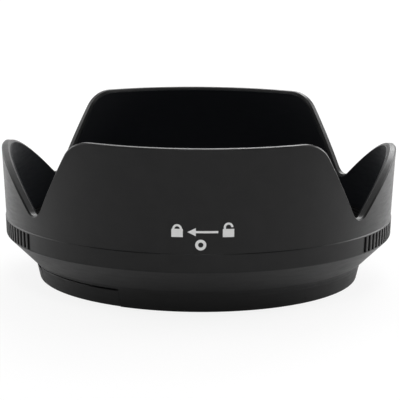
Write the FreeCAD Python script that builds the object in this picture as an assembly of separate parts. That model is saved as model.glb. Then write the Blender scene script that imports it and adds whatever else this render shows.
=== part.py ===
import FreeCAD, Part
import math
import os

# Petal lens hood with a bayonet collar, sizes in millimetres and degrees.
# +Z is the optical axis, towards the subject; the origin is the centre of the
# collar's rear face. Angles turn about +Z from the index mark, which faces -Y,
# towards +X. Long petals are at 0 and 180 degrees, short ones at 90 and 270.

Vector = FreeCAD.Vector

# Bayonet collar
bore_radius = 33.9
collar_wall = 1.2
collar_flare = 0.9
collar_height = 3.8
collar_blend = 2.0
rear_edge_round = 0.3
socket_depth = 6.5
stop_thickness = 1.2
throat_lip = 1.7
spigot_wall = 1.7
seam_rise = 1.1
bond_gap = 0.02

# Bayonet lugs, and the moulding windows in the stop flange over them
lug_count = 4
lug_span = 20.0
lug_reach = 1.0
lug_height = 0.8
lug_thickness = 1.7
lug_round = 0.4
window_margin = 0.5
window_lip = 0.6

# Click tongues: two strips of the collar wall that spring outwards
tongue_root_angle = -26.5
tongue_span = 44.0
tongue_slot = 0.35
tongue_end_gap = 0.3
tongue_root_gap = 0.05
tongue_floor_gap = 0.12
tongue_top = 3.75
tongue_edge_round = 0.15
relief_span = 7.0
relief_drop = 0.85
bump_radius = 0.9
bump_inset = 0.45
bump_angle_from_end = 6.0
bump_height = 2.4

# Taper, grip band and cone
taper_height = 6.3
taper_reach = 6.45
band_height = 3.7
band_lean = 0.15
band_edge_round = 0.5
crease_step = 0.14
crease_rise = 0.2
cone_angle = 3.1
wall = 1.8
taper_wall = 1.9
baffle_steps = 6

# Petals, as an outline on the unrolled cone, with heights above the band
long_petal_height = 21.7
short_petal_height = 15.4
long_corner_radius = 7.3
flank_lean = 33.2
notch_angle = 52.7
notch_height = 2.5
notch_radius = 3.0
rim_outer_bevel = 0.3
rim_inner_bevel = 0.45
rim_clear = 0.25

# Ribbed grip inserts at the two sides
grip_slot_count = 29
grip_slot_pitch = 2.4
grip_slot_width = 0.8
grip_slot_depth = 0.65
grip_land = 0.8
grip_depth = 0.9
grip_lip = 0.15

# Lining sheets
lining_thickness = 0.3
lining_margin = 0.1
lining_foot = 0.6
lining_seam = 0.3

# White marks, let into the cone
mark_angle = 1.5
mark_span = 90.0
mark_depth = 0.15
mark_proud = 0.01
ring_outer_radius = 1.12
ring_inner_radius = 0.52
ring_height = 2.1
legend_height = 5.4
legend_offset = 0.4
legend_reach = 6.3
legend_stroke = 0.45
lock_width = 2.3
lock_body_height = 1.7
shackle_radius = 0.75
open_shackle_lift = 0.35
arrow_head = 1.7

# Points along each stretch of the outline, and reaches of cutting solids
outline_samples = 16
outline_parts = 8
touch_search_steps = 60
ruling_reach = 12.0
overrun = 5.0
hairline = 0.001

collar_rear_radius = bore_radius + collar_wall
collar_top_radius = collar_rear_radius + collar_flare
throat_radius = bore_radius - throat_lip
lug_inner_radius = bore_radius - lug_reach
band_radius = collar_top_radius + taper_reach
band_bottom = collar_height + taper_height
band_top = band_bottom + band_height
band_top_radius = band_radius + band_lean
stop_top = socket_depth + stop_thickness
spigot_radius = bore_radius + spigot_wall
seam_height = collar_height + seam_rise
taper_slope = taper_reach / taper_height
cone_slope = math.tan(math.radians(cone_angle))
long_tip_height = band_top + long_petal_height
short_tip_height = band_top + short_petal_height
outline_radius = band_top_radius


def cone_radius(height):
    """Outer radius of the cone at a height."""
    start = band_top_radius - crease_step
    return start + cone_slope * (height - band_top - crease_rise)


def inner_radius(height):
    """Radius of the inside of the cone at a height."""
    return cone_radius(height) - wall


def taper_radius(height):
    """Outer radius of the taper at a height."""
    return collar_top_radius + taper_slope * (height - collar_height)


def taper_inner_radius(height):
    """Radius of the inside of the taper, one wall thickness in."""
    return taper_radius(height) - taper_wall * math.hypot(1.0, taper_slope)


def inner_corner():
    """Height where the inside of the taper meets the inside of the cone."""
    gap = inner_radius(0.0) - taper_inner_radius(0.0)
    return gap / (taper_slope - cone_slope)


def collar_radius(height):
    """Outer radius of the collar at a height."""
    flare = (collar_top_radius - collar_rear_radius) / collar_height
    return collar_rear_radius + flare * height


def polar(radius, angle, height=0.0):
    """Point at an angle from the index mark."""
    turn = math.radians(angle)
    return Vector(radius * math.sin(turn), -radius * math.cos(turn), height)


def rounded_wire(corners):
    """Closed wire in the XZ plane through (radius, height, round) corners."""
    count = len(corners)
    starts = []
    ends = []
    arcs = {}
    for index in range(count):
        r, z, size = corners[index]
        here = Vector(r, 0.0, z)
        before = corners[index - 1]
        after = corners[(index + 1) % count]
        to_before = Vector(before[0] - r, 0.0, before[1] - z).normalize()
        to_after = Vector(after[0] - r, 0.0, after[1] - z).normalize()
        half = to_before.getAngle(to_after) / 2.0
        reach = size / math.tan(half)
        starts.append(here + to_before * reach)
        ends.append(here + to_after * reach)
        if size > 0.0:
            bisector = (to_before + to_after).normalize()
            middle = here + bisector * (size / math.sin(half) - size)
            arcs[index] = Part.Arc(starts[index], middle, ends[index]).toShape()
    chain = []
    for index in range(count):
        if index in arcs:
            chain.append(arcs[index])
        following = (index + 1) % count
        if (starts[following] - ends[index]).Length > hairline:
            chain.append(Part.makeLine(ends[index], starts[following]))
    return Part.Wire(chain)


def turned(corners):
    """Solid of revolution of a rounded section about the optical axis."""
    face = Part.Face(rounded_wire(corners))
    return face.revolve(Vector(0, 0, 0), Vector(0, 0, 1), 360.0)


def sector(inner, outer, start, end, bottom, top):
    """Block of a ring between two angles and two heights."""
    height = top - bottom
    block = Part.makeCylinder(outer, height, Vector(0, 0, bottom), Vector(0, 0, 1), end - start)
    if inner > 0.0:
        core = Part.makeCylinder(inner, height, Vector(0, 0, bottom))
        block = block.cut(core)
    block.rotate(Vector(0, 0, 0), Vector(0, 0, 1), start - 90.0)
    return block


def about_axis(shape, angle):
    """Copy of a shape turned about the optical axis."""
    copy = shape.copy()
    copy.rotate(Vector(0, 0, 0), Vector(0, 0, 1), angle)
    return copy


# --- petal outline -------------------------------------------------------

def short_petal_point(across, margin):
    """Point of the short petal's parabola, and its outward direction.

    The parabola has its tip at 90 degrees and passes through the notch's
    corner. across is the distance from the tip, back towards that corner.
    """
    half_width = math.radians(90.0 - notch_angle) * outline_radius
    bend = (short_petal_height - notch_height) / (half_width * half_width)
    normal = Vector(-2.0 * bend * across, 0.0, 1.0).normalize()
    tip = math.radians(90.0) * outline_radius
    point = Vector(tip - across, 0.0, short_tip_height - bend * across * across)
    return point - normal * margin, normal


def notch_circle(corner, outwards):
    """Centre of the notch's circle, and where it touches the parabola.

    It touches both the flank, a line from corner square to outwards, and the
    short petal's parabola.
    """
    near = 0.0
    far = math.radians(90.0 - notch_angle) * outline_radius
    for _ in range(touch_search_steps):
        across = (near + far) / 2.0
        point, normal = short_petal_point(across, 0.0)
        centre = point + normal * notch_radius
        if (centre - corner).dot(outwards) > notch_radius:
            near = across
        else:
            far = across
    return centre, across


def arc_points(centre, size, first, last):
    """Points along an arc between two directions, without the last one."""
    points = []
    for step in range(outline_samples):
        angle = first + (last - first) * step / outline_samples
        points.append((centre.x + size * math.cos(angle), centre.z + size * math.sin(angle)))
    return points


def line_points(start, end):
    """Points along a line, without the last one."""
    points = []
    for step in range(outline_samples):
        point = start + (end - start) * (step / outline_samples)
        points.append((point.x, point.z))
    return points


def outline_quarter(margin):
    """(length along the wall, height) points from a long to a short petal.

    The outline is a level tip, a round corner, a straight flank, a round
    notch and the parabola of the short petal. A margin draws it inside.
    """
    lean = math.radians(flank_lean)
    along = Vector(math.sin(lean), 0.0, -math.cos(lean))
    outwards = Vector(math.cos(lean), 0.0, math.sin(lean))
    apex = Vector(math.radians(notch_angle) * outline_radius, 0.0, band_top + notch_height)
    corner = apex - along * ((long_tip_height - apex.z) / math.cos(lean))
    tangent = long_corner_radius * math.tan((math.pi / 2.0 - lean) / 2.0)
    corner_centre = Vector(corner.x - tangent, 0.0, long_tip_height - long_corner_radius)
    notch_centre, touch = notch_circle(corner, outwards)

    corner_size = long_corner_radius - margin
    notch_size = notch_radius + margin
    tip_start = Vector(0.0, 0.0, long_tip_height - margin)
    tip_end = Vector(corner_centre.x, 0.0, long_tip_height - margin)
    flank_start = corner_centre + outwards * corner_size
    flank_end = notch_centre - outwards * notch_size
    touched = short_petal_point(touch, 0.0)[1]
    first = math.pi + lean
    last = 2.0 * math.pi + math.atan2(-touched.z, -touched.x)

    points = line_points(tip_start, tip_end)
    points += arc_points(corner_centre, corner_size, math.pi / 2.0, lean)
    points += line_points(flank_start, flank_end)
    points += arc_points(notch_centre, notch_size, first, last)
    for step in range(2 * outline_samples + 1):
        across = touch * (1.0 - step / (2.0 * outline_samples))
        point = short_petal_point(across, margin)[0]
        points.append((point.x, point.z))
    return points


def notch_bottom(margin):
    """Angle and height of the lowest point of the outline's notch."""
    lowest = min(outline_quarter(margin), key=lambda point: point[1])
    return math.degrees(lowest[0] / outline_radius), lowest[1]


def outline_loop(margin):
    """(angle, height) points of the whole outline, once round."""
    quarter = [(math.degrees(s / outline_radius), z) for s, z in outline_quarter(margin)]
    half = quarter + [(180.0 - angle, z) for angle, z in reversed(quarter[:-1])]
    return half + [(360.0 - angle, z) for angle, z in reversed(half[1:-1])]


def outline_shares():
    """Share of the way round the outline at each of its points, ending at 1."""
    loop = outline_loop(0.0)
    lengths = [0.0]
    for start, end in zip(loop, loop[1:] + [(360.0, loop[0][1])]):
        along = math.radians(end[0] - start[0]) * outline_radius
        lengths.append(lengths[-1] + math.hypot(along, end[1] - start[1]))
    return [length / lengths[-1] for length in lengths]


def outline_curve(depth, drop, shares):
    """Outline at a depth under the cone's face, dropped by a margin.

    All such curves share their parameters, so a strip between two of them is
    ruled straight through the wall.
    """
    points = [polar(cone_radius(z) - depth, angle, z) for angle, z in outline_loop(drop)]
    curve = Part.BSplineCurve()
    curve.interpolate(Points=points, PeriodicFlag=True, Parameters=shares)
    return curve


def above_strip(inner, outer):
    """Solids of all above a strip ruled between two outlines, in equal parts.

    inner and outer are (depth under the cone's face, drop below the rim).
    """
    shares = outline_shares()
    near = outline_curve(*inner, shares)
    far = outline_curve(*outer, shares)
    lift = Vector(0, 0, long_tip_height + overrun)
    step = (len(shares) - 1) // outline_parts
    solids = []
    for part in range(outline_parts):
        start = shares[part * step]
        end = shares[(part + 1) * step]
        strip = Part.makeRuledSurface(near.toShape(start, end), far.toShape(start, end))
        solids.append(strip.extrude(lift))
    return solids


def above_outline(margin):
    """Solids of all that stands above the petal outline, square to the wall."""
    return above_strip((wall + ruling_reach, margin), (-ruling_reach, margin))


def outside_bevel():
    """Solids that bevel the outer edge of the rim."""
    reach = rim_outer_bevel + rim_clear
    return above_strip((reach, -rim_clear), (-rim_clear, reach))


def inside_bevel():
    """Solids that bevel the inner edge of the rim."""
    reach = rim_inner_bevel + rim_clear
    return above_strip((wall + rim_clear, reach), (wall - reach, -rim_clear))


# --- white marks ---------------------------------------------------------

def mark_layer(grow):
    """Thin skin of the cone that the white marks fill."""
    low = band_top + crease_rise
    high = long_tip_height
    return turned([
        (cone_radius(low) - mark_depth, low, 0.0),
        (cone_radius(low) + grow, low, 0.0),
        (cone_radius(high) + grow, high, 0.0),
        (cone_radius(high) - mark_depth, high, 0.0),
    ])


def flat_disc(radius, x, z):
    """Disc in the plane in front of the index mark."""
    start = Vector(x, -band_radius - ruling_reach, z)
    return Part.makeCylinder(radius, ruling_reach * 2.0, start, Vector(0, 1, 0))


def flat_block(x_low, x_high, z_low, z_high):
    """Rectangle, as a block across the wall at the index mark."""
    start = Vector(x_low, -band_radius - ruling_reach, z_low)
    return Part.makeBox(x_high - x_low, ruling_reach * 2.0, z_high - z_low, start)


def flat_polygon(corners):
    """Polygon of (x, z) corners, as a prism across the wall."""
    y = -band_radius - ruling_reach
    points = [Vector(x, y, z) for x, z in corners]
    face = Part.Face(Part.makePolygon(points + points[:1]))
    return face.extrude(Vector(0, ruling_reach * 2.0, 0))


def index_ring_stencil():
    """Stencil of the index ring, over the middle of the band."""
    z = band_top + ring_height
    return flat_disc(ring_outer_radius, 0.0, z).cut(flat_disc(ring_inner_radius, 0.0, z))


def padlock_stencil(x, base, lift):
    """Stencil of a padlock with its shackle lifted by a distance."""
    body = flat_block(x - lock_width / 2.0, x + lock_width / 2.0, base, base + lock_body_height)
    turn = base + lock_body_height + lift
    bend = flat_disc(shackle_radius + legend_stroke / 2.0, x, turn)
    bend = bend.cut(flat_disc(shackle_radius - legend_stroke / 2.0, x, turn))
    upper = flat_block(x - lock_width, x + lock_width, turn, turn + lock_width)
    shape = body.fuse(bend.common(upper))
    if lift > 0.0:
        leg_x = x - shackle_radius
        leg = flat_block(leg_x - legend_stroke / 2.0, leg_x + legend_stroke / 2.0,
                         base + legend_stroke, turn)
        shape = shape.fuse(leg)
    return shape.removeSplitter()


def arrow_stencil(base):
    """Stencil of the arrow between the two padlocks."""
    middle = base + arrow_head / 2.0 + legend_stroke / 2.0
    tip = -legend_reach + lock_width + 2.0 * legend_stroke
    tail = legend_reach - lock_width - 2.0 * legend_stroke
    half = arrow_head / 2.0
    return flat_polygon([
        (tip, middle),
        (tip + arrow_head, middle + half),
        (tip + arrow_head, middle + legend_stroke / 2.0),
        (tail, middle + legend_stroke / 2.0),
        (tail, middle - legend_stroke / 2.0),
        (tip + arrow_head, middle - legend_stroke / 2.0),
        (tip + arrow_head, middle - half),
    ])


def lock_legend_stencils():
    """Stencils of the turning legend: closed padlock, arrow, open padlock."""
    base = band_top + legend_height - lock_body_height
    centre = legend_reach - lock_width / 2.0
    stencils = [
        padlock_stencil(-centre, base, 0.0),
        arrow_stencil(base),
        padlock_stencil(centre, base, open_shackle_lift),
    ]
    return [stencil.translated(Vector(legend_offset, 0.0, 0.0)) for stencil in stencils]


def inlay(stencils, grow):
    """Skin of the cone inside some stencils, as separate solids."""
    layer = mark_layer(grow)
    near = sector(0.0, band_radius * 2.0, -mark_span / 2.0, mark_span / 2.0, 0.0, long_tip_height)
    layer = layer.common(near)
    skins = Part.makeCompound([layer.common(stencil) for stencil in stencils])
    return about_axis(skins, mark_angle)


# --- shell ---------------------------------------------------------------

def shell_section():
    """Section of the wall, from the collar seam to above the longest petal."""
    top = long_tip_height + overrun
    corner = inner_corner()
    section = [
        (spigot_radius + bond_gap, seam_height, 0.0),
        (taper_radius(seam_height), seam_height, 0.0),
        (band_radius, band_bottom, band_edge_round),
        (band_top_radius, band_top, 0.0),
        (band_top_radius - crease_step, band_top + crease_rise, 0.0),
        (cone_radius(top), top, 0.0),
        (inner_radius(top), top, 0.0),
        (inner_radius(corner), corner, 0.0),
    ]
    rise = (corner - stop_top) / baffle_steps
    for step in range(baffle_steps):
        high = corner - rise * step
        low = high - rise
        section.append((taper_inner_radius(low), high, 0.0))
        section.append((taper_inner_radius(low), low, 0.0))
    section.append((spigot_radius + bond_gap, stop_top, 0.0))
    return section


def grip_recess(side):
    """Pocket in the band that a grip insert fills."""
    half = grip_half_span()
    return sector(band_radius - grip_depth, band_radius + overrun, side - half, side + half,
                  band_bottom + grip_lip, band_top - grip_lip)


def grip_half_span():
    """Half the angle that a grip insert covers."""
    land = math.degrees(grip_land / band_radius)
    return (grip_slot_count - 1) / 2.0 * grip_slot_pitch + land


def petal_shell():
    """Outer moulding: taper, grip band, cone and four petals."""
    body = turned(shell_section())
    body = body.cut(above_outline(0.0))
    body = body.cut(outside_bevel())
    body = body.cut(inside_bevel())
    for side in (90.0, 270.0):
        body = body.cut(grip_recess(side))
    pockets = inlay([index_ring_stencil()] + lock_legend_stencils(), overrun)
    return body.cut(pockets)


def grip_insert(side):
    """Ribbed insert, flush with the band, with open slots."""
    half = grip_half_span()
    low = band_bottom + grip_lip
    high = band_top - grip_lip
    blank = turned([
        (band_radius - grip_depth, low, 0.0),
        (band_surface(low), low, 0.0),
        (band_surface(high), high, 0.0),
        (band_radius - grip_depth, high, 0.0),
    ])
    blank = blank.common(sector(0.0, band_radius + overrun, side - half, side + half, low, high))
    floor = band_radius - grip_slot_depth
    slots = []
    for index in range(grip_slot_count):
        angle = side + (index - (grip_slot_count - 1) / 2.0) * grip_slot_pitch
        slot = Part.makeBox(overrun, grip_slot_width, band_height + overrun,
                            Vector(floor, -grip_slot_width / 2.0, low - overrun / 2.0))
        slot.rotate(Vector(0, 0, 0), Vector(0, 0, 1), angle - 90.0)
        slots.append(slot)
    return blank.cut(Part.makeCompound(slots))


def band_surface(height):
    """Outer radius of the grip band at a height."""
    return band_radius + band_lean * (height - band_bottom) / band_height


# --- collar and tongues --------------------------------------------------

def collar_section():
    """Section of the collar ring with its stop flange and spigot."""
    return [
        (bore_radius, 0.0, rear_edge_round),
        (collar_rear_radius, 0.0, rear_edge_round),
        (collar_top_radius, collar_height, collar_blend),
        (taper_radius(seam_height), seam_height, 0.0),
        (spigot_radius, seam_height, 0.0),
        (spigot_radius, stop_top, 0.0),
        (throat_radius, stop_top, 0.0),
        (throat_radius, socket_depth, 0.0),
        (bore_radius, socket_depth, 0.0),
    ]


def bayonet_lug(angle):
    """One lug inside the collar that holds behind the lens's flange."""
    half = lug_span / 2.0
    lug = sector(lug_inner_radius, bore_radius + bond_gap, angle - half, angle + half,
                 lug_height, lug_height + lug_thickness)
    upright = [edge for edge in lug.Edges
               if is_upright(edge) and axis_distance(edge) < bore_radius - bond_gap]
    return lug.makeFillet(lug_round, upright)


def is_upright(edge):
    """Whether an edge runs along the optical axis."""
    return len(edge.Vertexes) == 2 and edge.BoundBox.XLength + edge.BoundBox.YLength < hairline


def axis_distance(edge):
    """Distance of an edge's middle from the optical axis."""
    middle = edge.valueAt((edge.FirstParameter + edge.LastParameter) / 2.0)
    return math.hypot(middle.x, middle.y)


def lug_window(angle):
    """Opening in the stop flange that the lug's moulding core comes out of."""
    half = lug_span / 2.0 + window_margin
    return sector(throat_radius + window_lip, bore_radius, angle - half, angle + half,
                  socket_depth - stop_thickness, stop_top + stop_thickness)


def tongue_window():
    """Opening in the collar wall around the index side's click tongue."""
    slot_top = tongue_top + tongue_slot
    reach = collar_top_radius + overrun
    root = tongue_root_angle + math.degrees(tongue_root_gap / collar_rear_radius)
    end = tongue_root_angle - tongue_span - math.degrees(tongue_end_gap / collar_rear_radius)
    window = sector(throat_radius, reach, end, root, -overrun, slot_top)
    return window.fuse(tongue_relief(end, slot_top))


def tongue_relief(end, slot_top):
    """Slanted relief that runs the slot out past the tongue's free end."""
    depth = collar_top_radius - bore_radius + 2.0 * overrun
    middle = end - relief_span / 2.0
    half = math.radians(relief_span / 2.0) * collar_top_radius
    near = bore_radius - overrun
    corners = [
        Vector(near, -half, slot_top),
        Vector(near, half + bond_gap, slot_top),
        Vector(near, half + bond_gap, slot_top - tongue_slot - relief_drop),
        Vector(near, -half, slot_top - tongue_slot),
    ]
    face = Part.Face(Part.makePolygon(corners + corners[:1]))
    prism = face.extrude(Vector(depth, 0, 0))
    prism.rotate(Vector(0, 0, 0), Vector(0, 0, 1), middle - 90.0)
    return prism


def bayonet_collar():
    """Rear ring with its stop flange, lugs, windows and tongue openings."""
    ring = turned(collar_section())
    for index in range(lug_count):
        angle = index * 360.0 / lug_count
        ring = ring.fuse(bayonet_lug(angle))
        ring = ring.cut(lug_window(angle))
    for turn in (0.0, 180.0):
        ring = ring.cut(about_axis(tongue_window(), turn))
    return ring.removeSplitter()


def click_tongue(turn):
    """Spring strip of the collar wall with its click bump."""
    end = tongue_root_angle - tongue_span
    strip = turned([
        (bore_radius, tongue_floor_gap, tongue_edge_round),
        (collar_radius(tongue_floor_gap), tongue_floor_gap, tongue_edge_round),
        (collar_radius(tongue_top), tongue_top, tongue_edge_round),
        (bore_radius, tongue_top, tongue_edge_round),
    ])
    strip = strip.common(sector(0.0, collar_top_radius + overrun, end, tongue_root_angle,
                                -overrun, tongue_top + overrun))
    centre = polar(bore_radius + bump_inset, end + bump_angle_from_end)
    centre.z = (tongue_floor_gap + tongue_top - bump_height) / 2.0
    bump = Part.makeCylinder(bump_radius, bump_height, centre)
    strip = strip.fuse(bump.cut(sector(bore_radius + bump_inset, collar_top_radius + overrun,
                                       end - bump_angle_from_end, tongue_root_angle,
                                       -overrun, tongue_top + overrun)))
    return about_axis(strip.removeSplitter(), turn)


# --- lining --------------------------------------------------------------

def lining_sheet(low_angle, high_angle, seam):
    """Lining of one petal, between two seams under the notches."""
    foot = inner_corner() + lining_foot
    top = long_tip_height + overrun
    skin = turned([
        (inner_radius(foot) - lining_thickness, foot, 0.0),
        (inner_radius(foot), foot, 0.0),
        (inner_radius(top), top, 0.0),
        (inner_radius(top) - lining_thickness, top, 0.0),
    ])
    gap = math.degrees(lining_seam / 2.0 / outline_radius)
    part = sector(0.0, band_radius + overrun, low_angle + gap, high_angle - gap, 0.0, top)
    return skin.common(part).cut(seam)


def lining_sheets():
    """The four lining sheets by name."""
    seam = above_outline(rim_inner_bevel + lining_margin)
    notch = notch_bottom(0.0)[0]
    return {
        "front_petal_lining": lining_sheet(-notch, notch, seam),
        "right_petal_lining": lining_sheet(notch, 180.0 - notch, seam),
        "rear_petal_lining": lining_sheet(180.0 - notch, 180.0 + notch, seam),
        "left_petal_lining": lining_sheet(180.0 + notch, 360.0 - notch, seam),
    }


def build():
    """Every piece of the hood by node name."""
    pieces = {
        "petal_shell": petal_shell(),
        "bayonet_collar": bayonet_collar(),
        "front_click_tongue": click_tongue(0.0),
        "rear_click_tongue": click_tongue(180.0),
        "right_grip_insert": grip_insert(90.0),
        "left_grip_insert": grip_insert(270.0),
        "index_ring_mark": inlay([index_ring_stencil()], mark_proud),
        "lock_legend_mark": inlay(lock_legend_stencils(), mark_proud),
    }
    pieces.update(lining_sheets())
    return pieces


os.makedirs("parts", exist_ok=True)
for name, shape in build().items():
    shape.exportStep("parts/" + name + ".step")
    print(name, "solids", len(shape.Solids), "volume", round(shape.Volume, 2), "valid", shape.isValid())
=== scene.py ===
"""Looks of a petal lens hood with a bayonet collar, built round the fixed CAD frame.

Lengths are in metres. +Z is the optical axis, the hood's mouth faces up, and the
white index mark faces -Y.
"""

import logging
import math
from collections.abc import Callable
from dataclasses import dataclass
from enum import Enum

import bpy
from mathutils import Matrix, Vector


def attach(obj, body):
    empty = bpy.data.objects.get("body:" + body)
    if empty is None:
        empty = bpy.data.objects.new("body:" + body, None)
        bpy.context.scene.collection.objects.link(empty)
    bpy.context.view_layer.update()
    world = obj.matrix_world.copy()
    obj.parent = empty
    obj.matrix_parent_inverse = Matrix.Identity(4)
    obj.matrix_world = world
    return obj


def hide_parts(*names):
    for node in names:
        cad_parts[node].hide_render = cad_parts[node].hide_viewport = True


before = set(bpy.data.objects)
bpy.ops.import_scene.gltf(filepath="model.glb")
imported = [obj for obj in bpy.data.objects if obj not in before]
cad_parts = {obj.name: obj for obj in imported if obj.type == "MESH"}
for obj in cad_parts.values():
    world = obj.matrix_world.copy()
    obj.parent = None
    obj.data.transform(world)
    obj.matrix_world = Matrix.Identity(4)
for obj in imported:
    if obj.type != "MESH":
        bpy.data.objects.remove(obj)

LOG = logging.getLogger("petal_hood")
MM = 0.001

SWELL_SHARE = 0.37
PIT_WEIGHT = 0.6
PIT_DULLNESS = 0.04
RUB_GLOSS = 0.16
BUMP_STRENGTH = 0.6
STREAK_STRETCH = (1.0, 1.0, 7.0)
STREAK_FINENESS = 5.0
EDGE_SAMPLES = 6
BREAKUP_SCALE = 900.0
DUST_CLOUD_SCALE = 260.0
SPECK_SCALE = 420.0
SPECK_PATCH_SCALE = 150.0
MERGE_DISTANCE = 0.000001
LEVEL_TOLERANCE = MM / 100.0
SMOOTH_ANGLE = 35.0
ROUND_SEGMENTS = 3
STEPS_PER_SLOT = 2
FLOOR_ROUGHNESS = 0.9
WORLD_BLEND = 0.35


class Body(str, Enum):
    """Bodies of the frame that pieces ride on."""

    HOOD = "hood"


class Effect(str, Enum):
    """Shader node groups shared by the finishes."""

    GRAIN = "moulded_grain"
    FLOW = "moulding_flow"
    WEAR = "edge_wear"
    DUST = "dust_film"


# --- shader node groups ----------------------------------------------------


def add_socket(group: bpy.types.NodeTree, name: str, outgoing: bool, kind: str = "Float",
               default: float = 0.0) -> None:
    """Add a named socket to a node group.

    Args:
        group: The node group.
        name: The socket's name.
        outgoing: True for an output.
        kind: Socket type without its prefix, such as Float or Vector.
        default: Value of an unlinked float input.
    """
    side = "OUTPUT" if outgoing else "INPUT"
    socket = group.interface.new_socket(name, in_out=side, socket_type="NodeSocket" + kind)
    if kind == "Float" and not outgoing:
        socket.default_value = default


@dataclass
class NodeSheet:
    """Short way to place and join nodes in one tree."""

    tree: bpy.types.NodeTree

    def add(self, kind: str, **settings: object) -> bpy.types.Node:
        """Place a node.

        Args:
            kind: Node type without its ShaderNode prefix, or a full type name.
            settings: Properties of the node.

        Returns:
            The new node.
        """
        full = kind if kind.startswith("Node") else "ShaderNode" + kind
        node = self.tree.nodes.new(full)
        for key, value in settings.items():
            setattr(node, key, value)
        return node

    def join(self, source: bpy.types.NodeSocket, target: bpy.types.NodeSocket) -> None:
        """Link one socket to another."""
        self.tree.links.new(source, target)

    def feed(self, target: bpy.types.NodeSocket, value: object) -> None:
        """Set a socket to a constant, or link it to a socket.

        Args:
            target: Socket to fill.
            value: A constant or another socket.
        """
        if isinstance(value, bpy.types.NodeSocket):
            self.join(value, target)
        else:
            target.default_value = value

    def math(self, operation: str, first: object, second: object = 0.0) -> bpy.types.NodeSocket:
        """Result of a math node on two constants or sockets.

        Args:
            operation: Blender's name of the operation.
            first: First operand.
            second: Second operand.

        Returns:
            The value socket.
        """
        node = self.add("Math", operation=operation)
        self.feed(node.inputs[0], first)
        self.feed(node.inputs[1], second)
        return node.outputs[0]

    def noise(self, vector: bpy.types.NodeSocket, scale: object, detail: float,
              roughness: float = 0.5) -> bpy.types.NodeSocket:
        """Fractal noise at a vector.

        Args:
            vector: Place to read it at.
            scale: Cycles per metre, a constant or a socket.
            detail: Octaves.
            roughness: Weight of the finer octaves.

        Returns:
            The factor socket.
        """
        node = self.add("TexNoise")
        self.join(vector, node.inputs["Vector"])
        self.feed(node.inputs["Scale"], scale)
        node.inputs["Detail"].default_value = detail
        node.inputs["Roughness"].default_value = roughness
        return node.outputs["Fac"]

    def ramp(self, value: bpy.types.NodeSocket, low: float, high: float, out_low: float = 0.0,
             out_high: float = 1.0) -> bpy.types.NodeSocket:
        """Clamped linear map of a value.

        Args:
            value: Socket to map.
            low: Value that gives out_low.
            high: Value that gives out_high.
            out_low: Result at low.
            out_high: Result at high.

        Returns:
            The mapped socket.
        """
        node = self.add("MapRange")
        self.join(value, node.inputs["Value"])
        for name, number in (("From Min", low), ("From Max", high), ("To Min", out_low),
                             ("To Max", out_high)):
            node.inputs[name].default_value = number
        return node.outputs["Result"]

    def group(self, effect: Effect, **values: object) -> bpy.types.Node:
        """Place a shared node group with its own input values.

        Args:
            effect: Which group.
            values: Input values by socket name, underscores for spaces.

        Returns:
            The group node.
        """
        node = self.add("Group")
        node.node_tree = bpy.data.node_groups[effect.value]
        for name, value in values.items():
            self.feed(node.inputs[name.replace("_", " ")], value)
        return node


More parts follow.
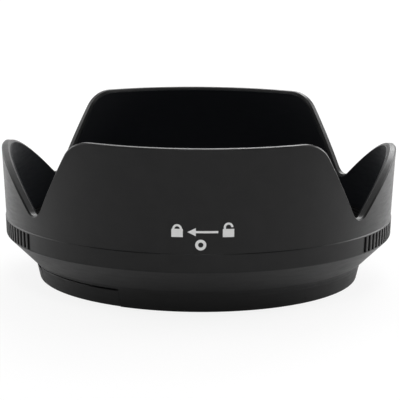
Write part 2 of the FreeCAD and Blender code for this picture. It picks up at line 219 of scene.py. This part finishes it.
class EffectLibrary:
    """Builds the shared node groups once."""

    def build(self) -> None:
        """Build every group."""
        self.grain()
        self.flow()
        self.wear()
        self.dust()

    def start(self, effect: Effect, inputs: dict[str, float],
              outputs: tuple[str, ...]) -> tuple[NodeSheet, bpy.types.Node, bpy.types.Node]:
        """New group with a Vector input, float inputs and float outputs.

        Args:
            effect: Which group.
            inputs: Float inputs with their defaults.
            outputs: Names of the outputs.

        Returns:
            The sheet, the input node and the output node.
        """
        tree = bpy.data.node_groups.new(effect.value, "ShaderNodeTree")
        add_socket(tree, "Vector", False, "Vector")
        for name, default in inputs.items():
            add_socket(tree, name, False, default=default)
        for name in outputs:
            add_socket(tree, name, True)
        sheet = NodeSheet(tree)
        return sheet, sheet.add("NodeGroupInput"), sheet.add("NodeGroupOutput")

    def grain(self) -> None:
        """Spark-eroded mould grain: fine pits with a softer swell under them."""
        sheet, entry, leave = self.start(Effect.GRAIN, {"Scale": 4000.0, "Depth": 1.0},
                                         ("Height", "Pits"))
        pits = sheet.add("TexVoronoi", feature="SMOOTH_F1")
        sheet.join(entry.outputs["Vector"], pits.inputs["Vector"])
        sheet.join(entry.outputs["Scale"], pits.inputs["Scale"])
        swell = sheet.noise(entry.outputs["Vector"],
                            sheet.math("MULTIPLY", entry.outputs["Scale"], SWELL_SHARE), 3.0)
        both = sheet.math("ADD", sheet.math("MULTIPLY", pits.outputs["Distance"], PIT_WEIGHT),
                          swell)
        sheet.join(sheet.math("MULTIPLY", both, entry.outputs["Depth"]), leave.inputs["Height"])
        sheet.join(sheet.ramp(pits.outputs["Distance"], 0.2, 0.75), leave.inputs["Pits"])

    def flow(self) -> None:
        """Slow change of gloss that the melt leaves where it cooled unevenly."""
        sheet, entry, leave = self.start(Effect.FLOW, {"Scale": 45.0}, ("Cloud", "Streak"))
        cloud = sheet.noise(entry.outputs["Vector"], entry.outputs["Scale"], 4.0, 0.55)
        stretch = sheet.add("Mapping")
        sheet.join(entry.outputs["Vector"], stretch.inputs["Vector"])
        stretch.inputs["Scale"].default_value = STREAK_STRETCH
        streak = sheet.noise(stretch.outputs["Vector"],
                             sheet.math("MULTIPLY", entry.outputs["Scale"],
                                        STREAK_FINENESS), 5.0, 0.6)
        sheet.join(sheet.ramp(cloud, 0.3, 0.7), leave.inputs["Cloud"])
        sheet.join(sheet.ramp(streak, 0.35, 0.7), leave.inputs["Streak"])

    def wear(self) -> None:
        """Mask of the sharp outer edges, broken up as handling leaves them."""
        sheet, entry, leave = self.start(Effect.WEAR, {"Width": 0.0003, "Amount": 1.0},
                                         ("Edge",))
        soft = sheet.add("Bevel", samples=EDGE_SAMPLES)
        sheet.join(entry.outputs["Width"], soft.inputs["Radius"])
        place = sheet.add("NewGeometry")
        turn = sheet.add("VectorMath", operation="DOT_PRODUCT")
        sheet.join(soft.outputs["Normal"], turn.inputs[0])
        sheet.join(place.outputs["Normal"], turn.inputs[1])
        edge = sheet.ramp(turn.outputs["Value"], 0.97, 0.75)
        breakup = sheet.ramp(sheet.noise(entry.outputs["Vector"], BREAKUP_SCALE, 4.0),
                             0.35, 0.65, 0.35, 1.0)
        worn = sheet.math("MULTIPLY", sheet.math("MULTIPLY", edge, breakup),
                          entry.outputs["Amount"])
        sheet.join(worn, leave.inputs["Edge"])

    def dust(self) -> None:
        """Mask of fine dust on what faces up, with a few loose specks."""
        sheet, entry, leave = self.start(Effect.DUST, {"Amount": 1.0}, ("Film", "Specks"))
        place = sheet.add("NewGeometry")
        upright = sheet.add("SeparateXYZ")
        sheet.join(place.outputs["Normal"], upright.inputs[0])
        faces_up = sheet.ramp(upright.outputs["Z"], -0.2, 1.0, 0.15, 1.0)
        cloud = sheet.ramp(sheet.noise(entry.outputs["Vector"], DUST_CLOUD_SCALE, 6.0, 0.65),
                           0.4, 0.75)
        film = sheet.math("MULTIPLY", sheet.math("MULTIPLY", cloud, faces_up),
                          entry.outputs["Amount"])
        sheet.join(film, leave.inputs["Film"])
        cells = sheet.add("TexVoronoi", feature="F1")
        sheet.join(entry.outputs["Vector"], cells.inputs["Vector"])
        cells.inputs["Scale"].default_value = SPECK_SCALE
        dot = sheet.ramp(cells.outputs["Distance"], 0.055, 0.02)
        rare = sheet.ramp(sheet.noise(entry.outputs["Vector"], SPECK_PATCH_SCALE, 2.0),
                          0.56, 0.6)
        specks = sheet.math("MULTIPLY", sheet.math("MULTIPLY", dot, rare),
                            entry.outputs["Amount"])
        sheet.join(specks, leave.inputs["Specks"])


# --- finishes ----------------------------------------------------------------


@dataclass(frozen=True)
class MouldedFinish:
    """Moulded black plastic: grain, uneven gloss, worn edges and a little dust.

    Colours are linear. Grain size is one pit, in metres.
    """

    name: str
    colour: tuple[float, float, float]
    cloud_colour: tuple[float, float, float]
    roughness_low: float
    roughness_high: float
    ior: float
    grain_size: float
    grain_depth: float
    wear_amount: float
    wear_width: float
    dust_amount: float
    dust_colour: tuple[float, float, float] = (0.11, 0.11, 0.11)

    def build(self) -> bpy.types.Material:
        """Make the material.

        Returns:
            The new material.
        """
        material = bpy.data.materials.new(self.name)
        material.use_nodes = True
        sheet = NodeSheet(material.node_tree)
        shader = material.node_tree.nodes["Principled BSDF"]
        shader.inputs["IOR"].default_value = self.ior
        vector = sheet.add("TexCoord").outputs["Object"]
        grain = sheet.group(Effect.GRAIN, Vector=vector, Scale=1.0 / self.grain_size, Depth=1.0)
        flow = sheet.group(Effect.FLOW, Vector=vector)
        wear = sheet.group(Effect.WEAR, Vector=vector, Width=self.wear_width,
                           Amount=self.wear_amount)
        dust = sheet.group(Effect.DUST, Vector=vector, Amount=self.dust_amount)

        colour = self.blend(sheet, flow.outputs["Cloud"], self.colour, self.cloud_colour)
        colour = self.blend(sheet, dust.outputs["Film"], colour, self.dust_colour)
        colour = self.blend(sheet, dust.outputs["Specks"], colour, self.dust_colour)
        sheet.join(colour, shader.inputs["Base Color"])
        self.set_roughness(sheet, shader, grain, flow, wear)
        bump = sheet.add("Bump")
        bump.inputs["Strength"].default_value = BUMP_STRENGTH
        bump.inputs["Distance"].default_value = self.grain_depth
        sheet.join(grain.outputs["Height"], bump.inputs["Height"])
        sheet.join(bump.outputs["Normal"], shader.inputs["Normal"])
        return material

    def blend(self, sheet: NodeSheet, mask: bpy.types.NodeSocket, under: object,
              over: tuple[float, float, float]) -> bpy.types.NodeSocket:
        """Colour over another by a mask.

        Args:
            sheet: The material's tree.
            mask: Where the upper colour shows.
            under: Lower colour, a constant or a socket.
            over: Upper colour.

        Returns:
            The mixed colour.
        """
        mix = sheet.add("Mix", data_type="RGBA")
        sheet.join(mask, mix.inputs["Factor"])
        sheet.feed(mix.inputs[6], under if isinstance(under, bpy.types.NodeSocket)
                   else (*under, 1.0))
        mix.inputs[7].default_value = (*over, 1.0)
        return mix.outputs[2]

    def set_roughness(self, sheet: NodeSheet, shader: bpy.types.Node, grain: bpy.types.Node,
                      flow: bpy.types.Node, wear: bpy.types.Node) -> None:
        """Roughness from the melt flow, with pits duller and worn edges glossier.

        Args:
            sheet: The material's tree.
            shader: The surface shader.
            grain: The grain group.
            flow: The flow group.
            wear: The wear group.
        """
        base = sheet.ramp(flow.outputs["Streak"], 0.0, 1.0, self.roughness_low,
                          self.roughness_high)
        pitted = sheet.math("ADD", base,
                            sheet.math("MULTIPLY", grain.outputs["Pits"], PIT_DULLNESS))
        rubbed = sheet.math("SUBTRACT", pitted,
                            sheet.math("MULTIPLY", wear.outputs["Edge"], RUB_GLOSS))
        sheet.join(rubbed, shader.inputs["Roughness"])


@dataclass(frozen=True)
class InkFinish(MouldedFinish):
    """White ink filled into a recess: dry pigment, with faint grey dust on it."""

    dust_colour: tuple[float, float, float] = (0.55, 0.55, 0.54)


SHELL_FINISH = MouldedFinish(
    name="satin_shell_plastic",
    colour=(0.0036, 0.0036, 0.0039),
    cloud_colour=(0.0050, 0.0050, 0.0052),
    roughness_low=0.34,
    roughness_high=0.42,
    ior=1.34,
    grain_size=0.00016,
    grain_depth=0.000006,
    wear_amount=0.8,
    wear_width=0.0003,
    dust_amount=0.10,
)
COLLAR_FINISH = MouldedFinish(
    name="grained_collar_plastic",
    colour=(0.0034, 0.0034, 0.0036),
    cloud_colour=(0.0048, 0.0048, 0.0050),
    roughness_low=0.42,
    roughness_high=0.5,
    ior=1.33,
    grain_size=0.00022,
    grain_depth=0.00001,
    wear_amount=0.7,
    wear_width=0.0003,
    dust_amount=0.12,
)
GRIP_FINISH = MouldedFinish(
    name="ribbed_grip_plastic",
    colour=(0.0034, 0.0034, 0.0036),
    cloud_colour=(0.0048, 0.0048, 0.0050),
    roughness_low=0.42,
    roughness_high=0.5,
    ior=1.33,
    grain_size=0.00014,
    grain_depth=0.000006,
    wear_amount=1.0,
    wear_width=0.0002,
    dust_amount=0.16,
)
# Black liner film. Its tone is darker and bluer than the shell's; that difference is painted
# shade inside the hood.
LINER_FINISH_WITH_PAINTED_SHADE = MouldedFinish(
    name="liner_film_with_painted_shade",
    colour=(0.0008, 0.0015, 0.0030),
    cloud_colour=(0.0014, 0.0022, 0.0042),
    roughness_low=0.5,
    roughness_high=0.62,
    ior=1.25,
    grain_size=0.00011,
    grain_depth=0.000004,
    wear_amount=0.4,
    wear_width=0.0002,
    dust_amount=0.05,
    dust_colour=(0.03, 0.034, 0.04),
)
INK_FINISH = InkFinish(
    name="white_index_ink",
    colour=(0.93, 0.93, 0.925),
    cloud_colour=(0.86, 0.86, 0.855),
    roughness_low=0.45,
    roughness_high=0.55,
    ior=1.45,
    grain_size=0.0001,
    grain_depth=0.000003,
    wear_amount=0.2,
    wear_width=0.00008,
    dust_amount=0.25,
)


# --- pieces --------------------------------------------------------------------


def dress(node: str, material: bpy.types.Material) -> None:
    """Put a finish on a CAD node.

    Args:
        node: The node's name.
        material: Its finish.
    """
    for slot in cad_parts[node].material_slots:
        slot.material = material
    LOG.info("%s wears %s", node, material.name)


@dataclass
class PetalShell:
    """Outer moulding with its four petals."""

    node: str = "petal_shell"

    def build(self, material: bpy.types.Material) -> None:
        """Dress the moulding."""
        dress(self.node, material)


@dataclass
class BayonetCollar:
    """Collar ring and its two click tongues."""

    node: str = "bayonet_collar"
    tongues: tuple[str, ...] = ("front_click_tongue", "rear_click_tongue")

    def build(self, material: bpy.types.Material) -> None:
        """Dress the ring and the tongues alike.

        Args:
            material: Their finish.
        """
        dress(self.node, material)
        for tongue in self.tongues:
            dress(tongue, material)


class Bench:
    """Modelling steps that several pieces share."""

    @staticmethod
    def clear() -> None:
        """Deselect everything."""
        bpy.ops.object.select_all(action="DESELECT")

    @staticmethod
    def edit(piece: bpy.types.Object) -> None:
        """Enter edit mode on one piece with all of it selected.

        Args:
            piece: The piece.
        """
        Bench.clear()
        bpy.context.view_layer.objects.active = piece
        piece.select_set(True)
        bpy.ops.object.mode_set(mode="EDIT")
        bpy.ops.mesh.select_all(action="SELECT")

    @staticmethod
    def pick(piece: bpy.types.Object, kind: str, test: Callable[[list[Vector]], bool]) -> None:
        """Select the vertices or edges of a piece by place, in edit mode.

        Args:
            piece: The piece, in edit mode.
            kind: VERT or EDGE.
            test: Takes the corner points of an element, and says if it is wanted.
        """
        bpy.ops.mesh.select_all(action="DESELECT")
        bpy.ops.mesh.select_mode(type=kind)
        bpy.ops.object.mode_set(mode="OBJECT")
        points = piece.data.vertices
        if kind == "VERT":
            for point in points:
                point.select = test([point.co])
        else:
            for edge in piece.data.edges:
                edge.select = test([points[index].co for index in edge.vertices])
        bpy.ops.object.mode_set(mode="EDIT")

    @staticmethod
    def settle(piece: bpy.types.Object) -> None:
        """Leave edit mode and put the piece's place in its mesh.

        Args:
            piece: The piece, in either mode.
        """
        bpy.ops.object.mode_set(mode="OBJECT")
        Bench.clear()
        bpy.context.view_layer.objects.active = piece
        piece.select_set(True)
        bpy.ops.object.transform_apply(location=True, rotation=True, scale=True)

    @staticmethod
    def turn(piece: bpy.types.Object, angle: float) -> None:
        """Turn a piece about the optical axis.

        Args:
            piece: The piece, in object mode.
            angle: Degrees towards +X from -Y.
        """
        Bench.clear()
        bpy.context.view_layer.objects.active = piece
        piece.select_set(True)
        piece.rotation_euler[2] = math.radians(angle)
        bpy.ops.object.transform_apply(location=False, rotation=True, scale=False)

    @staticmethod
    def copy(piece: bpy.types.Object) -> bpy.types.Object:
        """Copy a piece with its own mesh.

        Args:
            piece: The piece.

        Returns:
            The copy.
        """
        twin = piece.copy()
        twin.data = piece.data.copy()
        bpy.context.collection.objects.link(twin)
        return twin

    @staticmethod
    def join(pieces: list[bpy.types.Object], name: str) -> bpy.types.Object:
        """Join pieces into the first one.

        Args:
            pieces: Pieces to join.
            name: Name of the result.

        Returns:
            The joined piece.
        """
        Bench.clear()
        for piece in pieces:
            piece.select_set(True)
        bpy.context.view_layer.objects.active = pieces[0]
        bpy.ops.object.join()
        whole = bpy.context.active_object
        whole.name = name
        whole.data.name = name
        return whole


@dataclass
class GripInsert:
    """Ribbed strip let into the band: a backing strip with rounded ribs on it.

    Heights are above the collar's rear face.
    """

    node: str
    name: str
    side: float
    band_radius: float = 42.45 * MM
    band_low: float = 10.25 * MM
    band_high: float = 13.65 * MM
    lean: float = 0.14 * MM
    depth: float = 0.9 * MM
    slot_depth: float = 0.65 * MM
    slot_width: float = 0.8 * MM
    land_width: float = 0.4 * MM
    rib_round: float = 0.14 * MM
    pitch: float = 2.4
    slot_count: int = 29
    root_overlap: float = 0.05 * MM

    @property
    def middle(self) -> float:
        """Height of the middle of the strip."""
        return (self.band_low + self.band_high) / 2.0

    @property
    def half_span(self) -> float:
        """Half the angle of the strip, in degrees."""
        edge = math.degrees((self.slot_width / 2.0 + self.land_width) / self.band_radius)
        return (self.slot_count - 1) / 2.0 * self.pitch + edge

    def backing(self) -> bpy.types.Object:
        """Curved strip that the ribs stand on.

        Returns:
            The strip, centred on its side.
        """
        Bench.clear()
        thick = self.depth - self.slot_depth
        centre = (0.0, -(self.band_radius - self.depth + thick / 2.0), self.middle)
        bpy.ops.mesh.primitive_plane_add(size=1.0, location=centre,
                                         rotation=(0.0, math.pi / 2.0, 0.0))
        strip = bpy.context.active_object
        Bench.settle(strip)
        Bench.edit(strip)
        bpy.ops.transform.resize(value=(1.0, thick, self.band_high - self.band_low),
                                 center_override=centre)
        bpy.ops.mesh.spin(steps=self.slot_count * STEPS_PER_SLOT,
                          angle=math.radians(self.half_span * 2.0),
                          center=(0.0, 0.0, 0.0), axis=(0.0, 0.0, 1.0))
        bpy.ops.mesh.select_all(action="SELECT")
        bpy.ops.mesh.remove_doubles(threshold=MERGE_DISTANCE)
        bpy.ops.mesh.normals_make_consistent(inside=False)
        Bench.settle(strip)
        swung = math.copysign(1.0, sum(point.co.x for point in strip.data.vertices))
        Bench.turn(strip, self.side - swung * self.half_span)
        return strip

    def rib(self, width: float) -> bpy.types.Object:
        """One rib at the index mark, with rounded outer edges.

        Args:
            width: Its width along the band.

        Returns:
            The rib.
        """
        Bench.clear()
        root = self.band_radius - self.slot_depth - self.root_overlap
        reach = self.band_radius - root
        centre = (0.0, -(root + reach / 2.0), self.middle)
        bpy.ops.mesh.primitive_cube_add(size=1.0, location=centre)
        rib = bpy.context.active_object
        Bench.settle(rib)
        Bench.edit(rib)
        bpy.ops.transform.resize(value=(width, reach, self.band_high - self.band_low),
                                 center_override=centre)
        Bench.pick(rib, "VERT", lambda at: at[0].y < centre[1] and at[0].z > self.middle)
        bpy.ops.transform.translate(value=(0.0, -self.lean, 0.0))
        Bench.pick(rib, "EDGE", lambda ends: all(end.y < centre[1] for end in ends)
                   and abs(ends[0].x - ends[1].x) < LEVEL_TOLERANCE)
        bpy.ops.mesh.bevel(offset=self.rib_round, segments=ROUND_SEGMENTS)
        Bench.settle(rib)
        return rib

    def build(self, material: bpy.types.Material) -> None:
        """Build the strip with all its ribs, and dress it.

        Args:
            material: Its finish.
        """
        pieces = [self.backing()]
        pattern = self.rib(math.radians(self.pitch) * self.band_radius - self.slot_width)
        for index in range(self.slot_count - 1):
            twin = Bench.copy(pattern)
            Bench.turn(twin, self.side + (index + 1 - self.slot_count / 2.0) * self.pitch)
            pieces.append(twin)
        bpy.data.objects.remove(pattern)
        land = self.rib(self.land_width)
        edge = self.half_span - math.degrees(self.land_width / 2.0 / self.band_radius)
        for way in (-1.0, 1.0):
            twin = Bench.copy(land)
            Bench.turn(twin, self.side + way * edge)
            pieces.append(twin)
        bpy.data.objects.remove(land)
        strip = Bench.join(pieces, self.name)
        strip.data.materials.clear()
        strip.data.materials.append(material)
        Bench.clear()
        strip.select_set(True)
        bpy.ops.object.shade_smooth_by_angle(angle=math.radians(SMOOTH_ANGLE))
        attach(strip, Body.HOOD.value)
        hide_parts(self.node)
        LOG.info("%s wears %s", self.name, material.name)


@dataclass
class PetalLinings:
    """Anti-reflection films inside the four petals. Their tone is darker and bluer than the
    shell's, and that difference is painted shade.
    """

    nodes: tuple[str, ...] = ("front_petal_lining", "right_petal_lining", "rear_petal_lining",
                              "left_petal_lining")

    def build(self, material: bpy.types.Material) -> None:
        """Dress the four films."""
        for node in self.nodes:
            dress(node, material)


@dataclass
class WhiteMarks:
    """Index ring and lock legend, filled with white."""

    nodes: tuple[str, ...] = ("index_ring_mark", "lock_legend_mark")

    def build(self, material: bpy.types.Material) -> None:
        """Dress both marks."""
        for node in self.nodes:
            dress(node, material)


# --- studio ----------------------------------------------------------------------


@dataclass(frozen=True)
class Softbox:
    """Square soft light that faces the middle of the object."""

    name: str
    place: tuple[float, float, float]
    width: float
    watts: float

    def hang(self, aim: Vector) -> None:
        """Add the light and turn it towards a point.

        Args:
            aim: Point that it faces.
        """
        data = bpy.data.lights.new(self.name, "AREA")
        data.size = self.width
        data.energy = self.watts
        light = bpy.data.objects.new(self.name, data)
        bpy.context.collection.objects.link(light)
        light.location = self.place
        light.rotation_euler = (aim - light.location).to_track_quat("-Z", "Y").to_euler()


@dataclass
class Studio:
    """Pale floor, bright surroundings behind the object and dim ones in front."""

    floor_reach: float = 3.0
    floor_tone: float = 0.85
    floor_glow: float = 0.25
    floor_white: float = 0.82
    behind_level: float = 1.25
    front_level: float = 0.12
    backdrop_level: float = 1.0
    camera_distance: float = 0.430
    camera_elevation: float = 11.37
    camera_yaw: float = 0.85
    camera_roll: float = 0.355
    aim_height: float = 0.018
    lens_mm: float = 174.7
    sensor_mm: float = 36.0
    frame_shift: tuple[float, float] = (0.0034, -0.0178)
    softboxes: tuple[Softbox, ...] = (
        Softbox("overhead_softbox", (0.0, -0.42, 0.78), 0.30, 1.0),
        Softbox("right_softbox", (0.52, 0.30, 0.16), 0.40, 2.4),
        Softbox("left_softbox", (-0.52, 0.30, 0.16), 0.40, 1.2),
        Softbox("backdrop_softbox", (0.12, 0.55, 0.42), 0.35, 2.2),
    )

    def build(self) -> None:
        """Set the floor, the light and the camera."""
        bpy.context.scene.view_settings.view_transform = "Standard"
        self.lay_floor()
        self.light_world()
        for softbox in self.softboxes:
            softbox.hang(Vector((0.0, 0.0, self.aim_height)))
        self.place_camera()

    def lay_floor(self) -> None:
        """Plain pale floor under the collar."""
        bpy.ops.object.select_all(action="DESELECT")
        bpy.ops.mesh.primitive_plane_add(size=self.floor_reach * 2.0)
        floor = bpy.context.active_object
        floor.name = "studio_floor"
        material = bpy.data.materials.new("pale_floor")
        material.use_nodes = True
        shader = material.node_tree.nodes["Principled BSDF"]
        tone = self.floor_tone
        shader.inputs["Base Color"].default_value = (tone, tone, tone, 1.0)
        shader.inputs["Roughness"].default_value = FLOOR_ROUGHNESS
        shader.inputs["Emission Color"].default_value = (1.0, 1.0, 1.0, 1.0)
        shader.inputs["Emission Strength"].default_value = self.floor_glow
        sheet = NodeSheet(material.node_tree)
        bright = sheet.add("Emission")
        seen = sheet.math("MULTIPLY", sheet.add("LightPath").outputs["Is Camera Ray"],
                          self.floor_white)
        mix = sheet.add("MixShader")
        sheet.join(seen, mix.inputs[0])
        sheet.join(shader.outputs[0], mix.inputs[1])
        sheet.join(bright.outputs[0], mix.inputs[2])
        sheet.join(mix.outputs[0], material.node_tree.nodes["Material Output"].inputs["Surface"])
        floor.data.materials.append(material)

    def light_world(self) -> None:
        """Surroundings that are bright behind the object and dim before it."""
        world = bpy.data.worlds.new("studio_surroundings")
        bpy.context.scene.world = world
        world.use_nodes = True
        sheet = NodeSheet(world.node_tree)
        backdrop = world.node_tree.nodes["Background"]
        backdrop.inputs["Color"].default_value = (1.0, 1.0, 1.0, 1.0)
        backdrop.inputs["Strength"].default_value = self.backdrop_level
        direction = sheet.add("SeparateXYZ")
        sheet.join(sheet.add("TexCoord").outputs["Generated"], direction.inputs[0])
        level = sheet.ramp(direction.outputs["Y"], -WORLD_BLEND, WORLD_BLEND,
                           self.front_level, self.behind_level)
        glow = sheet.add("Background")
        sheet.join(level, glow.inputs["Strength"])
        mix = sheet.add("MixShader")
        sheet.join(sheet.add("LightPath").outputs["Is Camera Ray"], mix.inputs[0])
        sheet.join(glow.outputs[0], mix.inputs[1])
        sheet.join(backdrop.outputs[0], mix.inputs[2])
        sheet.join(mix.outputs[0], world.node_tree.nodes["World Output"].inputs["Surface"])

    def place_camera(self) -> None:
        """Long lens, a little above the band and almost square to the index mark."""
        rise = math.radians(self.camera_elevation)
        yaw = math.radians(self.camera_yaw)
        back = Vector((math.sin(yaw) * math.cos(rise), -math.cos(yaw) * math.cos(rise),
                       math.sin(rise)))
        right = Vector((0.0, 0.0, 1.0)).cross(back).normalized()
        turned = Matrix.Rotation(math.radians(self.camera_roll), 3, back) @ right
        upwards = back.cross(turned)
        data = bpy.data.cameras.new("studio_camera")
        data.lens = self.lens_mm
        data.sensor_width = self.sensor_mm
        data.shift_x, data.shift_y = self.frame_shift
        camera = bpy.data.objects.new("studio_camera", data)
        bpy.context.collection.objects.link(camera)
        place = Vector((0.0, 0.0, self.aim_height)) + back * self.camera_distance
        axes = Matrix((turned, upwards, back)).transposed().to_4x4()
        camera.matrix_world = Matrix.Translation(place) @ axes
        bpy.context.scene.camera = camera


def main() -> None:
    """Build the looks of every sub-assembly round the frame."""
    logging.basicConfig(level=logging.INFO, format="%(name)s: %(message)s")
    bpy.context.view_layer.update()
    EffectLibrary().build()
    Studio().build()
    PetalShell().build(SHELL_FINISH.build())
    BayonetCollar().build(COLLAR_FINISH.build())
    grip_material = GRIP_FINISH.build()
    GripInsert("right_grip_insert", "right_ribbed_grip", 90.0).build(grip_material)
    GripInsert("left_grip_insert", "left_ribbed_grip", -90.0).build(grip_material)
    PetalLinings().build(LINER_FINISH_WITH_PAINTED_SHADE.build())
    WhiteMarks().build(INK_FINISH.build())


if __name__ == "__main__":
    main()
